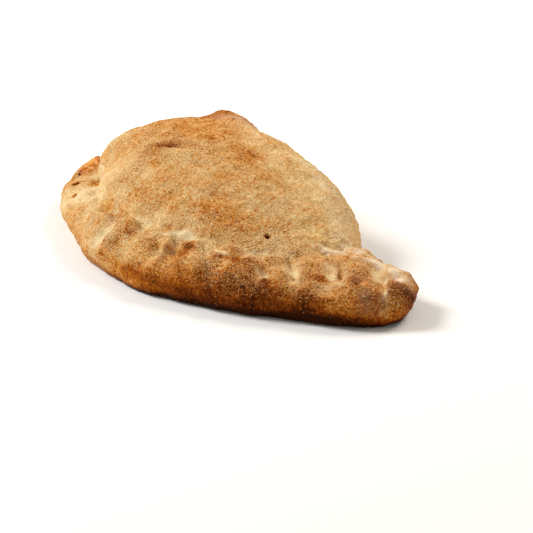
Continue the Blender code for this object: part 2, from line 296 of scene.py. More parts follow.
# folds, lumps, pits and creases: x, y, half length, half width, turn in degrees, height in mm
crustFolds = (
    # pointed end
    (141.5, -2.5, 9, 1.3, -43, -1.0),      # groove behind the knob
    (149, -9.5, 5, 1.6, -55, -0.5),
    (146, -2.5, 8, 2.0, -43, 0.9),
    (132, 3, 6, 4, -20, -0.8),
    (142, -15, 8, 5, 50, 1.0),
    (124, -5, 8, 8, 0, 2.1),               # toasted lump
    (133, -11, 4.2, 3.2, -40, -3.2),       # hole in it
    (127, -8, 3.0, 1.8, 50, -1.4),
    (116, -13, 15, 4.0, -42, -0.5),        # pale valley
    (115.5, -10, 8, 1.4, -42, -2.8),       # slit in its floor
    (110, -22, 9, 8, 0, 1.8),              # next lump
    (117, -23.5, 4.5, 2.4, 50, -1.0),      # toasted dimple
    (99, -28.5, 10, 3.8, -33, -1.6),       # valley
    (100, -30, 4, 1.1, -36, -2.2),
    (107, -32, 4, 3, 0, 1.0),
    (104, -41, 8, 7, 0, 1.2),
    (95, 3.5, 8, 1.6, 24, 1.6),            # edge of the fold in two steps
    (97, 0.5, 8, 1.4, 24, -0.8),
    (117, 7.5, 11, 1.8, 12, 2.0),
    (117, 3.5, 10, 1.6, 12, -1.1),
    # middle of the rim
    (88, -41.5, 4, 3, 0, -1.5),            # pale pocket
    (79, -33, 7, 4, 40, 1.2),
    (77, -42, 7, 6, 0, 1.4),
    (70.5, -44.8, 3.2, 2.2, 50, -1.0),     # little hole
    (73, -53, 10, 2.0, -46, 1.6),          # ridge
    (62, -50.5, 5, 1.4, 40, -1.4),
    (60, -48, 6, 1.5, 14, 0.8),            # pale lip over it
    (66, -61, 9, 3.2, -38, -2.2),          # valley
    (55, -61, 7, 6, 0, 2.0),
    (44.5, -55.5, 8, 1.8, 20, -1.6),       # under the turned up lip of the seam
    (41, -47, 8, 1.7, 30, 0.7),
    (49, -52.5, 6, 3.5, 50, 1.0),
    (37, -60, 5, 6, 0, -0.6),
    (31, -64, 9, 1.9, -62, 2.8),           # sharp ridge
    (27, -66, 7, 2.2, -62, -1.2),
    (19, -65, 7, 6, 0, 1.8),
    (9, -68, 7, 1.6, 20, 1.0),
    # blunt end
    (-6, -65, 8, 7, 0, 1.5),               # round lump
    (-9, -66, 5, 2.2, 100, 0.8),
    (1, -57, 6, 4, 20, 1.0),
    (2, -65, 2.6, 1.5, 20, -1.1),
    (-3, -73, 3.4, 1.8, 30, -1.2),
    (-14, -69, 7, 4, 60, -1.6),
    (-28, -64, 8, 5, 0, 1.2),
    (-28, -66, 1.8, 1.1, 50, -0.8),
    (-39, -55, 5, 1.4, 10, -0.9),
    (-45, -60, 9, 4, -30, 1.0),
    (-63, -53, 7, 2.0, 30, -1.0),
    (-60, -56, 7, 4, 30, 1.0),
    (-79, -42, 9, 4, 35, 1.0),
    (-88, -27, 6, 3, 10, -1.6),
    (-100, -33.5, 2.2, 1.5, 50, -1.8),     # pits
    (-87, -43.5, 1.4, 1.2, 0, -0.8),
    # crown
    (-29, 29, 22, 2.6, 12, -1.8),          # foot of the blister
    (-36, 42, 20, 9, 4, 1.6),
    (-62, 49, 6, 5, 0, 1.8),
    (-32, -15.5, 13, 1.7, 8, -2.0),        # crease
    (-32, -12, 13, 2.5, 8, 0.8),
    (-8, -20, 18, 4.0, 14, 0.9),
    (-13, 5, 2.5, 1.8, 0, -0.8),
    (68, -20.5, 1.6, 1.4, 0, -2.4),        # black pit
    (32, -34, 24, 7, 12, 0.8),
)

# the crust's relief: places are shares of a section, 0 the widest line, 1 the seam and over 1 the pocket
relief = {
    "creaseDepth": 1.1,        # crease in mm where the pocket rises from the rim
    "creasePlace": 1.05,
    "creaseWidth": 0.035,
    "creaseBreaks": (0.7, 0.4, 26, 14),  # mean, swing, wave length in mm and seed
    "creaseTip": (98, 125),    # distance along the edge up to which the crease is fainter, in mm
    "creaseTipShare": 0.25,
    "topFrom": (-0.3, 0.05),   # folds and patches seen from above fade out below this
    "rimFrom": (-0.3, 0.3),    # where the rim's own bumps come in and go out
    "rimTo": (0.95, 1.3),
    "baseFlat": (1.0, 1.5),    # rows over which the relief comes in above the flat base
    "poleFlat": (3.97, 4.0),   # and goes out at the top of the crown
    "rimWidth": 30,            # width that the rim has when it is laid out flat, in mm
}

# unevenness all over: wave length and height in mm, rim only or everywhere, seed
crustBumps = (
    (34, 0.45, False, 1), (14, 0.26, False, 2), (6.5, 0.15, False, 3), (3.6, 0.07, False, 21),
    (17, 0.50, True, 4), (8, 0.32, True, 5), (4.5, 0.10, True, 22),
)


def rimSpot(s, r, length, place, share, halfLong, halfWide, turn):
    # turned bell on the rim laid out flat, place mm from the tip and share of the way up to the seam
    away = (s - place + length / 2) % length - length / 2
    return spot(away, (r - share) * relief["rimWidth"], 0, 0, halfLong, halfWide, turn)


def roughenedDough():
    # the dough's surface moved along its normals by waves of several sizes, folds and the seam's crease
    rows = rowPlaces()
    g = doughSurface(dough["sections"], rows)
    x, y, z, r, s = g["x"], g["y"], g["z"], g["across"], g["s"]
    length = s.max() + s[1, 0]
    low, high = (np.array(v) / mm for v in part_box("dough"))
    shift = (low + high) / 2 - np.array([(x.min() + x.max()) / 2, (y.min() + y.max()) / 2, 0])
    n = gridNormals(x, y, z)
    free = eased(*relief["baseFlat"], g["places"])
    poleFade = 1 - eased(*relief["poleFlat"], g["places"])
    onRim = eased(*relief["rimFrom"], r) * (1 - eased(*relief["rimTo"], r)) * g["pinched"]
    mean, swing, size, seed = relief["creaseBreaks"]
    broken = mean + swing * wavyNoise(x, y, z, size, seed)
    folds = -relief["creaseDepth"] * np.exp(-(((r - relief["creasePlace"]) / relief["creaseWidth"]) ** 2))
    atTip = relief["creaseTipShare"]
    faint = atTip + (1 - atTip) * eased(*relief["creaseTip"], s)
    folds = folds * g["pinched"] * np.clip(broken, 0, 1.3) * faint
    for cx, cy, halfLong, halfWide, turn, height in crustFolds:
        folds += height * spot(x, y, cx, cy, halfLong, halfWide, turn) * eased(*relief["topFrom"], r)
    bumps = 0.0
    for size, height, onRimOnly, seed in crustBumps:
        bumps = bumps + height * wavyNoise(x, y, z, size, seed) * (onRim if onRimOnly else 1)
    lift = (bumps + folds) * free * poleFade
    g["x"] = x + n[..., 0] * lift + shift[0]
    g["y"] = y + n[..., 1] * lift + shift[1]
    g["z"] = np.maximum(z + n[..., 2] * lift, 0)
    g["plainX"], g["plainY"], g["length"] = x, y, length
    g["bumps"], g["folds"] = bumps, folds
    return g


def closedGridMesh(name, x, y, z):
    # quads between the inner rows, closed round the loop, and fans to a pole at the mean of the first
    # row and at that of the last
    sections, rows = x.shape
    points = np.stack([x, y, z], -1) * mm
    inner = points[:, 1:-1].reshape(-1, 3)
    vertices = np.vstack([inner, points[:, 0].mean(0), points[:, -1].mean(0)])
    bands = rows - 2
    i = np.arange(sections)[:, None]
    j = np.arange(bands - 1)[None, :]
    after = (i + 1) % sections
    quads = np.stack([i * bands + j, i * bands + j + 1, after * bands + j + 1, after * bands + j], -1)
    i, after = i[:, 0], after[:, 0]
    lowFan = np.stack([np.full(sections, len(inner)), i * bands, after * bands], 1)
    last = bands - 1
    highFan = np.stack([np.full(sections, len(inner) + 1), after * bands + last, i * bands + last], 1)
    faces = quads.reshape(-1, 4).tolist() + lowFan.tolist() + highFan.tolist()
    mesh = bpy.data.meshes.new(name)
    mesh.from_pydata(vertices.tolist(), [], faces)
    mesh.shade_smooth()
    mesh.update()
    return mesh


def addAttribute(mesh, name, values):
    # one float a vertex of a closed grid, each pole the mean of its row
    flat = np.concatenate([values[:, 1:-1].ravel(), [values[:, 0].mean(), values[:, -1].mean()]])
    layer = mesh.attributes.new(name, "FLOAT", "POINT")
    layer.data.foreach_set("value", flat.astype(np.float32))


# how far each place is baked: 0 is raw and floury, 1 is burnt; it also holds painted shade under the edge and
# in some patches below, and painted light in a few others
baking = {
    "crown": 0.43,
    "crownTop": 0.12,         # more on the highest part
    "rim": {"front": 0.555, "corner": 0.47},
    "bakedAndShadedUnderEdge": {"front": 0.33, "middle": 0.20, "corner": 0.02},  # added from the rim down to the base: well baked crust, and painted shade where the edge meets the floor
    "frontEnds": (120, 165),  # distance along the edge where each of these gives way to the next, in mm
    "middleEnds": (170, 215),
    "rimEnds": (190, 230),    # and the rim's front tone to that of the corner
    "rimFade": (0.9, 1.3),    # where on a section the rim's tone gives way to the crown's
    "topFrom": (45, 66),      # heights between which the crown gets darker, in mm
    "underFade": (-0.45, 0.55),
    "seamPale": 0.18,
    "seamBand": (1.02, 0.06),            # its middle and width
    "seamBreaks": (0.75, 0.25, 22, 8),   # mean, swing, wave length in mm and seed
    "groovePale": 0.055,      # for each mm of a pinch
    "fold": 0.035,            # for each mm of height of a fold
    "bump": 0.04,             # and of a bump
    "clouds": ((38, 0.022, 6), (17, 0.02, 7)),  # wave length in mm, amount and seed
    "patchEdge": 1.5,
    "unevenPatches": (0.8, 0.3, 7, 12),  # mean, swing, wave length in mm and seed
    "amberAllOver": (0.12, 0.12, 30, 11),
    "mostPatch": 0.9,         # raw dough and flour cover no more than this
}

# patches seen from above: x, y, half length, half width, turn, bake added; a few add painted shade and a few
# add painted light, as noted
topPatches = (
    # crown
    (80, 20, 45, 30, -20, -0.065),     # paler tip end: paler crust with painted sheen and light
    (30, 42, 70, 20, -8, -0.12),       # paler back: paler crust with painted sheen and light
    (-58, 42, 20, 16, 0, 0.16),
    (-28, -24, 14, 10, 0, 0.05),
    (-74, 42, 12, 12, 0, 0.13),
    (-56, 58, 10, 8, 0, 0.07),
    (-24, 44, 14, 6, 0, -0.06),
    (-6, 19, 18, 7, 0, -0.13),
    (30, 19, 18, 8, 0, -0.14),
    (54, -22, 14, 7, 30, 0.11),
    (36, -26, 8, 8, 0, 0.06),
    (70, -10, 10, 6, 40, 0.10),
    (88, 8, 10, 14, 0, -0.07),
    (-34, -23, 16, 8, 0, 0.10),
    (-28, -9, 14, 6, 0, 0.09),
    (34, -37, 9, 4, 0, 0.08),
    (-94, -10, 12, 20, 0, -0.03),
    (-5, -38, 26, 7, 0, -0.06),
    (-56, -50, 12, 6, 0, -0.05),
    (-36, 47, 20, 9, 4, 0.05),
    (88, 0, 14, 20, 0, -0.05),
    (-95, -14, 14, 12, 0, -0.04),      # side of the lobe
    (-118, -8, 20, 14, 60, 0.05),
    (22, 30, 20, 8, 0, -0.06),
    (-29, 29, 22, 1.8, 12, 0.08),      # foot of the blister, darkened with painted shade
    (68, -20.5, 1.6, 1.4, 0, 0.80),    # black pit
    (-32, -15.5, 13, 1.7, 8, 0.28),    # crease darkened with painted shade, and the pale band in front a painted highlight
    (-8, -21, 18, 4.0, 14, -0.12),
    (-13, 5, 2.8, 2.0, 0, 0.24),
    (-9, 0, 1.4, 1.2, 0, 0.18),
    (15, 13, 13, 9, 50, 0.09),         # toasted places
    (-12, -40, 14, 5, 40, 0.05),
    (-40, 7, 10, 6, 0, 0.05),
    (36, -31, 12, 4, 50, 0.07),
    (50, -32, 9, 4, 50, 0.07),
    (24, -13, 8, 3, 50, 0.05),
    (70, -3, 9, 2.5, 60, 0.06),
    (35, -40, 1.0, 0.9, 0, 0.40),      # specks
    (44, -34.5, 1.3, 0.8, 50, 0.30),
    (66, 8, 1.2, 0.7, 50, 0.22),
    (-28, -50, 22, 4, -6, -0.10),      # pale foot of the crown
    (12, -50, 16, 4, 12, -0.10),
    (-36, -22, 12, 8, 0, 0.04),
    # pointed end
    (142, -2.5, 8, 1.8, -43, -0.10),   # groove behind the knob
    (136, 12, 9, 6, 0, -0.05),
    (148, 1.5, 8, 7, 50, 0.28),        # charred knob
    (128, 13, 22, 6, 0, -0.13),        # floury back
    (143.5, -16, 9, 6, 50, 0.20),      # char
    (128, -7, 9, 8, 0, 0.17),
    (132, -10.5, 6.5, 5.2, -40, 0.18),
    (132.5, -15.5, 4, 2.2, -40, 0.16),
    (135, -11, 2.6, 2.4, -40, -0.26),
    (118, -38, 8, 5, 0, 0.16),
    (129, -24, 5, 4, 50, 0.16),
    (116, -14, 15, 6.5, -42, -0.18),   # valley
    # the dark slit in its floor is painted shade
    (115.5, -10, 8, 1.4, -42, 0.55),
    (112, -23, 9, 7, 0, 0.11),
    (117, -23.5, 4.5, 2.6, 50, 0.18),
    (99, -28.5, 10, 4, -33, -0.16),
    (100, -30, 4, 1.2, -36, 0.40),
    (97, -45.5, 4, 3, 0, 0.12),
    (95, 3.5, 8, 1.8, 24, -0.14),
    (117, 8, 12, 2, 12, -0.12),
    (100, -2, 6, 4, 50, 0.05),
    # middle
    (88, -41.5, 5, 3, 0, -0.12),
    (79, -33, 6, 3, 40, 0.06),
    (75, -42, 7, 6, 0, 0.10),
    (70.5, -44.8, 3.8, 2.6, 50, 0.19),
    (73, -53, 10, 2.2, -46, -0.16),
    (62, -50.5, 5, 2.2, 40, 0.20),
    (68, -63, 8, 3.4, -38, 0.16),
    (55, -61, 6, 5, 0, -0.16),
    (44.5, -55.5, 8, 2.2, 20, 0.16),
    # paler over the upper pinch groove: painted light that takes out its shade
    (49, -50, 6, 4, 50, -0.17),
    # the hollow right of the sharp ridge made browner: painted warm shade
    (40, -61, 8, 6, 0, 0.12),
    (63, -56, 5, 4, 0, 0.09),
    (31, -65, 9, 2.0, -62, -0.12),
    (30, -58, 6, 4.5, -62, -0.09),
    (45.5, -49.5, 3.5, 1.6, 50, 0.14),
    (41, -54.2, 6, 1.5, 12, 0.16),
    # the same hollow a little browner: painted warm shade
    (31, -58, 5, 3.5, 50, 0.04),
    (19, -64, 6, 5, 0, 0.11),
    (9, -68, 7, 1.6, 20, -0.08),
    (19, -52, 3, 2, 20, 0.12),
    # blunt end
    (-7, -66, 9, 2.2, 95, -0.13),
    (-5, -66, 7, 6, 0, 0.08),
    (-1, -57, 6, 4, 20, -0.10),
    (2, -65, 4.2, 2.2, 30, 0.26),
    (-2.5, -73, 3.6, 2.2, 30, 0.20),
    (-17, -70, 7, 4, 50, -0.16),
    (-28, -64, 8, 5, 0, 0.03),
    (-28, -66, 1.8, 1.1, 50, 0.20),
    (-38, -53, 6, 4, 0, 0.15),
    (-24, -58, 8, 3, 20, 0.08),
    (-68, -50, 8, 2.2, 35, 0.13),
    (-91, -26, 4, 2.6, 20, 0.26),
    (-86, -28, 5, 2.6, 10, 0.16),
    (-100, -33.5, 2.4, 1.8, 50, 0.85),
    (-87, -43.5, 1.8, 1.4, 0, 0.75),
    (-118, -20, 14, 10, 0, 0.05),
    (-88, -40, 24, 12, 20, -0.14),
    (-50, -60, 22, 8, 20, -0.08),
    (-3, -76, 7, 3, 0, 0.10),
)

# patches of the side: distance from the tip, share of the way from widest line to seam, the rest as above
sidePatches = (
    (4, -0.10, 16, 8, 0, -0.22),       # paler end of the tip
    (4, 0.55, 16, 9, 0, -0.10),
    (134, 0.60, 7, 12, 0, 0.10),       # toasted lumps along the rim
    (78, 0.80, 6, 6, 0, 0.12),
    (-20, 0.0, 8, 6, 0, 0.14),
    (30, 0.05, 10, 5, 0, -0.08),
    (78, 0.30, 7, 9, 0, 0.10),
    (106, 0.30, 7, 6, 0, 0.10),
    (120, 0.95, 6, 4, 0, -0.12),
    (205, 0.20, 14, 7, 0, -0.06),
    (85, -0.72, 60, 6, 0, 0.42),       # brown band under the edge: well baked crust and painted shade where it meets the floor
    (150, -0.30, 22, 7, 0, -0.16),     # paler middle
    (165, 0.20, 26, 6, 0, -0.05),
    (162, 0.05, 24, 4, 0, 0.16),
    (172, -0.35, 14, 4, 0, -0.12),
    (205, 0.75, 26, 7, 0, -0.09),      # paler towards the blunt end
    (216, 0.50, 12, 8, 0, -0.05),
    (57, 1.0, 9, 4, 0, -0.11),
    (120, 0.70, 6, 7, 0, -0.07),
    (162, 0.75, 6, 6, 0, -0.08),
    (90, 0.20, 9, 4.5, 0, 0.12),
    (0, -0.35, 18, 6, 0, -0.14),
    (50, -0.45, 25, 5, 0, 0.13),
    (36, 0.20, 7, 5, 0, 0.08),
    (78, 0.42, 45, 9, 0, 0.07),
    (45, 0.20, 34, 3.5, 0, 0.08),
    (82, 0.26, 8, 4, 0, 0.08),
    (80, -0.05, 34, 5, 0, 0.04),
    (205, -0.10, 12, 6, 0, -0.10),
    # a narrower band of the same baked crust and painted shade under the edge
    (85, -0.62, 55, 3.5, 0, 0.22),
    (28, -0.30, 14, 5, 0, 0.10),
    (185, -0.15, 18, 7, 0, -0.16),
    (172, 0.92, 20, 3, 0, -0.10),
    (212, 0.55, 18, 9, 0, -0.14),
    (190, 0.70, 9, 7, 0, -0.10),
    (161, 0.68, 5, 6, 0, -0.10),
)

# how orange the bake is, like toffee: x, y, half length, half width, turn, amount
topAmber = (
    # toasted hollows of both ends
    (-37, -54, 5, 4, 0, 0.9), (-88, -27, 7, 4, 10, 1.0), (134, -11, 5, 4, 0, 0.8),
    (128, -6, 8, 7, 0, 0.15), (112, -23, 9, 7, 0, 0.35), (97, -45.5, 4, 3, 0, 0.9),
    (146.5, -3, 5, 3, -43, 0.8), (117, -24, 5, 2.6, 50, 0.9), (129, -24, 5, 3, 50, 0.8),
    # little hole, lips and hollows in the middle of the rim
    (70.5, -44.8, 5, 4, 0, 1.4), (80, -42, 12, 9, 0, 0.3), (62, -50.5, 6, 2.4, 40, 0.9),
    (44.5, -55.5, 8, 2, 20, 0.5), (45.5, -49.5, 4, 2, 50, 0.5),
    # broad and faint over the crown
    (60, 5, 55, 35, -20, 0.12), (45, -27, 22, 10, 10, 0.15), (55, -42, 22, 6, 10, 0.2),
    (-12, -36, 24, 10, 0, -0.2), (-85, 0, 16, 24, 0, -0.12),
    # single spots
    (-13, 5, 3, 2.2, 0, 0.9), (73, -53, 9, 3, -46, 0.4), (19, -52, 3, 2, 20, 0.8),
    # the spot at (30.5, -58) makes that hollow orange: painted warm shade
    (-55, -30, 18, 14, 0, -0.15), (30.5, -58, 5, 3.8, 50, 0.6),
)

# the same on the side, placed as its patches are
sideAmber = (
    (155, -0.15, 38, 9, 0, 0.60),
    (-4, -0.30, 14, 7, 0, 0.25),
    (60, -0.40, 80, 9, 0, 0.60),
)


def bakeAndShadeMap(g):
    # base tone by place on the section, darker under the edge (baked crust and painted shade), paler on the
    # seam and in the pinches,
    # then each patch's bell, a few of them painted shade and light, two sizes of clouds and a little for each
    # bump
    x, y, z, r, s = g["plainX"], g["plainY"], g["z"], g["across"], g["s"]
    loop = np.minimum(s, g["length"] - s)
    rim, under = baking["rim"], baking["bakedAndShadedUnderEdge"]
    rim = rim["front"] + (rim["corner"] - rim["front"]) * eased(*baking["rimEnds"], loop)
    bakeAndShade = baking["crown"] + (rim - baking["crown"]) * (1 - eased(*baking["rimFade"], r))
    bakeAndShade = bakeAndShade + baking["crownTop"] * eased(*baking["topFrom"], z)
    share = under["front"] + (under["middle"] - under["front"]) * eased(*baking["frontEnds"], loop)
    share = share + (under["corner"] - under["middle"]) * eased(*baking["middleEnds"], loop)
    bakeAndShade = bakeAndShade + share * (1 - eased(*baking["underFade"], r))
    place, width = baking["seamBand"]
    seamBand = np.exp(-(((r - place) / width) ** 2)) * g["pinched"]
    mean, swing, size, seed = baking["seamBreaks"]
    seamBreak = mean + swing * wavyNoise(x, y, z, size, seed)
    bakeAndShade = bakeAndShade - baking["seamPale"] * seamBand * np.clip(seamBreak, 0, 1.2)
    bakeAndShade = bakeAndShade - baking["groovePale"] * g["groove"] + baking["fold"] * g["folds"]
    onTop = eased(*relief["topFrom"], r)
    for cx, cy, halfLong, halfWide, turn, change in topPatches:
        bakeAndShade = bakeAndShade + change * spot(x, y, cx, cy, halfLong, halfWide, turn, baking["patchEdge"]) * onTop
    for place, part, halfLong, halfWide, turn, change in sidePatches:
        bakeAndShade = bakeAndShade + change * rimSpot(s, r, g["length"], place, part, halfLong, halfWide, turn)
    for size, amount, seed in baking["clouds"]:
        bakeAndShade = bakeAndShade + amount * wavyNoise(x, y, z, size, seed)
    bakeAndShade = bakeAndShade + baking["bump"] * g["bumps"]
    return bakeAndShade


# dough left pale and raw in the seam and the deep pinches: x, y, half length, half width, turn, amount
# a patch below 0 keeps a baked mark clear of it
rawPatches = (
    # along the seam in the middle
    (26, -51.5, 10, 1.7, 22, 0.9), (42, -47.5, 8, 1.2, 12, 0.4), (60.5, -46.6, 5.5, 1.8, 14, 1.1),
    (33, -49, 5, 3.2, 25, 0.8), (31, -59, 6, 5, 0, -0.8), (10, -52, 9, 3, 15, 0.35),
    # seam and valleys towards the pointed end
    (70, -32.5, 7, 2.2, 56, 0.3), (77, -21, 5, 3, 50, 0.35), (88, -41.5, 4, 2.8, 0, 0.8),
    (98, -28, 10, 4.2, -33, 0.75), (100, -30, 4.5, 1.1, -36, -0.8),
    (113, -13.5, 14, 5.5, -42, 0.75), (115.5, -10, 8, 1.3, -42, -1.0),
    (117.5, -23.5, 5, 3, 50, -0.7), (142.5, -2, 8, 1.2, -43, 0.8), (132, 3, 6, 4, -20, 0.7),
    (148, -8.5, 6, 2.4, -50, 0.32),
    (122, -24, 6, 4, -42, 0.35), (54, -42, 14, 3.5, 12, 0.22), (77, -27, 14, 4, 50, 0.2),
    # front of the rim and blunt end
    (-17, -70.5, 7, 3.6, 50, 0.95), (-8, -69, 4, 1.4, 95, 0.5), (31, -66, 6, 1.6, -62, 0.15),
    (-82, -43, 24, 9, 25, 0.5), (-4, -55, 8, 1.6, 0, 0.4),
    (-100, -33.5, 3, 2.4, 50, -1.0), (-87, -43.5, 2.4, 2, 0, -1.0), (-90, -26.5, 6, 4, 20, -0.5),
)

# dusted with flour, in the same way
flourPatches = (
    (95, 3.5, 8, 1.8, 24, 0.8), (117, 8, 12, 2.2, 12, 0.9),   # ledges of the fold
    (114, 15, 24, 7, 0, 0.6), (136, 12, 9, 6, 0, 0.5),        # back of the pointed end
    (144, 8, 6, 4, 0, 0.25),
    (80, 24, 18, 8, -30, 0.2), (-34, 44, 20, 10, 4, 0.35),    # back of the crown and blister
    (127, -9, 9, 7, 0, 0.08), (143, -17, 6, 5, 50, 0.10),     # thin on the toasted lumps
)


def patchMap(g, patches):
    # sum of the patches' bells, made uneven by a small wave and held below a limit
    x, y = g["plainX"], g["plainY"]
    total = np.zeros(x.shape)
    for cx, cy, halfLong, halfWide, turn, amount in patches:
        total = total + amount * spot(x, y, cx, cy, halfLong, halfWide, turn, baking["patchEdge"])
    mean, swing, size, seed = baking["unevenPatches"]
    uneven = mean + swing * wavyNoise(x, y, g["z"], size, seed)
    return np.clip(total * uneven, 0, baking["mostPatch"]) * eased(*relief["topFrom"], g["across"])


def amberMap(g):
    # a faint broad wave, plus the bells of the spots seen from above and from the side
    mean, swing, size, seed = baking["amberAllOver"]
    total = mean + swing * wavyNoise(g["plainX"], g["plainY"], g["z"], size, seed)
    onTop = eased(*relief["topFrom"], g["across"])
    for cx, cy, halfLong, halfWide, turn, amount in topAmber:
        total = total + amount * spot(g["plainX"], g["plainY"], cx, cy, halfLong, halfWide, turn) * onTop
    for place, part, halfLong, halfWide, turn, amount in sideAmber:
        bell = rimSpot(g["s"], g["across"], g["length"], place, part, halfLong, halfWide, turn)
        total = total + amount * bell
    return np.clip(total, 0, 1)


# how thick the meal lies that is baked on: 0 is none
mealCover = {
    "mean": 0.55,
    "clouds": ((40, 0.25, 9), (15, 0.12, 10)),  # wave length in mm, amount and seed
    "rim": 0.25,              # more on the rim
    "rimBand": (0.35, 0.3),   # its middle and width on a section
    "rimEnds": (215, 280),    # and where it gives out along the edge, in mm
    "foldFrom": 560,          # past this distance the edge is folded back and counts as the tip
    "under": 0.10,            # share left under the edge
    "underFade": (-0.15, 0.30),
    "backLess": 0.55,         # less on the back of the crown
    "backFrom": (-14, 16),
    "crownFrom": (1.2, 1.6),
    "bare": (-34, 42, 22, 11, 4),   # the blister: x, y, half length, half width and turn
    "bareShare": 0.75,
    "thinFlour": 0.12,        # flour up to this and toffee up to that don't keep the meal off
    "thinAmber": 0.70,
    "rawKeeps": 1.3,          # how strongly raw dough and flour keep it off
    "amberKeeps": 2.0,        # and how strongly toffee does
}


def mealMap(g):
    # mean, clouds and the rim's band, less under the edge and at the back, and none where it is smooth
    x, y, z, r, s = g["plainX"], g["plainY"], g["z"], g["across"], g["s"]
    cover = mealCover
    loop = np.where(s > cover["foldFrom"], 0, s)
    meal = cover["mean"]
    for size, amount, seed in cover["clouds"]:
        meal = meal + amount * wavyNoise(x, y, z, size, seed)
    place, width = cover["rimBand"]
    band = np.exp(-(((r - place) / width) ** 2))
    meal = meal + cover["rim"] * band * (1 - eased(*cover["rimEnds"], loop))
    meal = meal * (cover["under"] + (1 - cover["under"]) * eased(*cover["underFade"], r))
    meal = meal * (1 - cover["backLess"] * eased(*cover["backFrom"], y) * eased(*cover["crownFrom"], r))
    smooth = cover["bareShare"] * spot(x, y, *cover["bare"], baking["patchEdge"])
    thickFlour = np.clip(patchMap(g, flourPatches) - cover["thinFlour"], 0, 1)
    smooth = smooth + cover["rawKeeps"] * (patchMap(g, rawPatches) + thickFlour)
    smooth = smooth + cover["amberKeeps"] * np.clip(amberMap(g) - cover["thinAmber"], 0, 1)
    return np.clip(meal, 0, 1) * (1 - np.clip(smooth, 0, 1))


def makeNodes(name):
    # a new material with its node tree and its shader
    material = bpy.data.materials.new(name)
    material.use_nodes = True
    tree = material.node_tree
    return material, tree, tree.nodes["Principled BSDF"]


def put(tree, kind, **settings):
    # a node with its settings; a name that starts with _ is an input socket
    node = tree.nodes.new(kind)
    for key, value in settings.items():
        if key.startswith("_"):
            node.inputs[key[1:].replace("_", " ")].default_value = value
        else:
            setattr(node, key, value)
    return node


def math2(tree, operation, a, b=None, clamp=False):
    # operation on a and b, each a number or a socket
    node = put(tree, "ShaderNodeMath", operation=operation, use_clamp=clamp)
    for socket, value in zip(node.inputs, (a, b)):
        if value is None:
            continue
        if isinstance(value, (int, float)):
            socket.default_value = value
        else:
            tree.links.new(value, socket)
    return node.outputs[0]


def ramp(tree, source, stops):
    # colours or grey values at the stated places, straight lines between them
    node = put(tree, "ShaderNodeValToRGB")
    elements = node.color_ramp.elements
    while len(elements) < len(stops):
        elements.new(0.5)
    for element, (place, colour) in zip(elements, stops):
        element.position = place
        element.color = (*colour, 1) if isinstance(colour, tuple) else (colour, colour, colour, 1)
    tree.links.new(source, node.inputs[0])
    return node.outputs[0]


def blend(tree, factor, a, b, mode="MIX"):
    # a mixed or multiplied with b by factor, each a number, a colour or a socket
    node = put(tree, "ShaderNodeMix", data_type="RGBA", blend_type=mode)
    for index, value in ((0, factor), (6, a), (7, b)):
        socket = node.inputs[index]
        if isinstance(value, (int, float)):
            socket.default_value = value
        elif isinstance(value, tuple):
            socket.default_value = (*value, 1)
        else:
            tree.links.new(value, socket)
    return node.outputs[2]


# the mottle's inputs with their first values; scales are per metre
mottleInputs = {
    "Scale": 200.0, "Detail": 2.0, "Roughness": 0.5, "Low": 0.0, "High": 1.0, "From": 0.0, "To": 1.0,
}


def mottleGroup():
    # noise on Object coordinates, its part between Low and High spread from From to To
    group = bpy.data.node_groups.new("mottle", "ShaderNodeTree")
    for name, value in mottleInputs.items():
        socket = group.interface.new_socket(name, in_out="INPUT", socket_type="NodeSocketFloat")
        socket.default_value = value
    group.interface.new_socket("Value", in_out="OUTPUT", socket_type="NodeSocketFloat")
    given = put(group, "NodeGroupInput").outputs
    where = put(group, "ShaderNodeTexCoord").outputs["Object"]
    noise = put(group, "ShaderNodeTexNoise")
    spread = put(group, "ShaderNodeMapRange", clamp=True)
    group.links.new(where, noise.inputs["Vector"])
    for name in ("Scale", "Detail", "Roughness"):
        group.links.new(given[name], noise.inputs[name])
    group.links.new(noise.outputs["Fac"], spread.inputs["Value"])
    for name, socket in (("Low", "From Min"), ("High", "From Max"), ("From", "To Min"), ("To", "To Max")):
        group.links.new(given[name], spread.inputs[socket])
    group.links.new(spread.outputs["Result"], put(group, "NodeGroupOutput").inputs["Value"])
    return group


def mottled(tree, **values):
    # the group placed in a material with its own values
    node = put(tree, "ShaderNodeGroup", node_tree=mottle)
    for name, value in values.items():
        node.inputs[name].default_value = value
    return node.outputs["Value"]


mottle = mottleGroup()


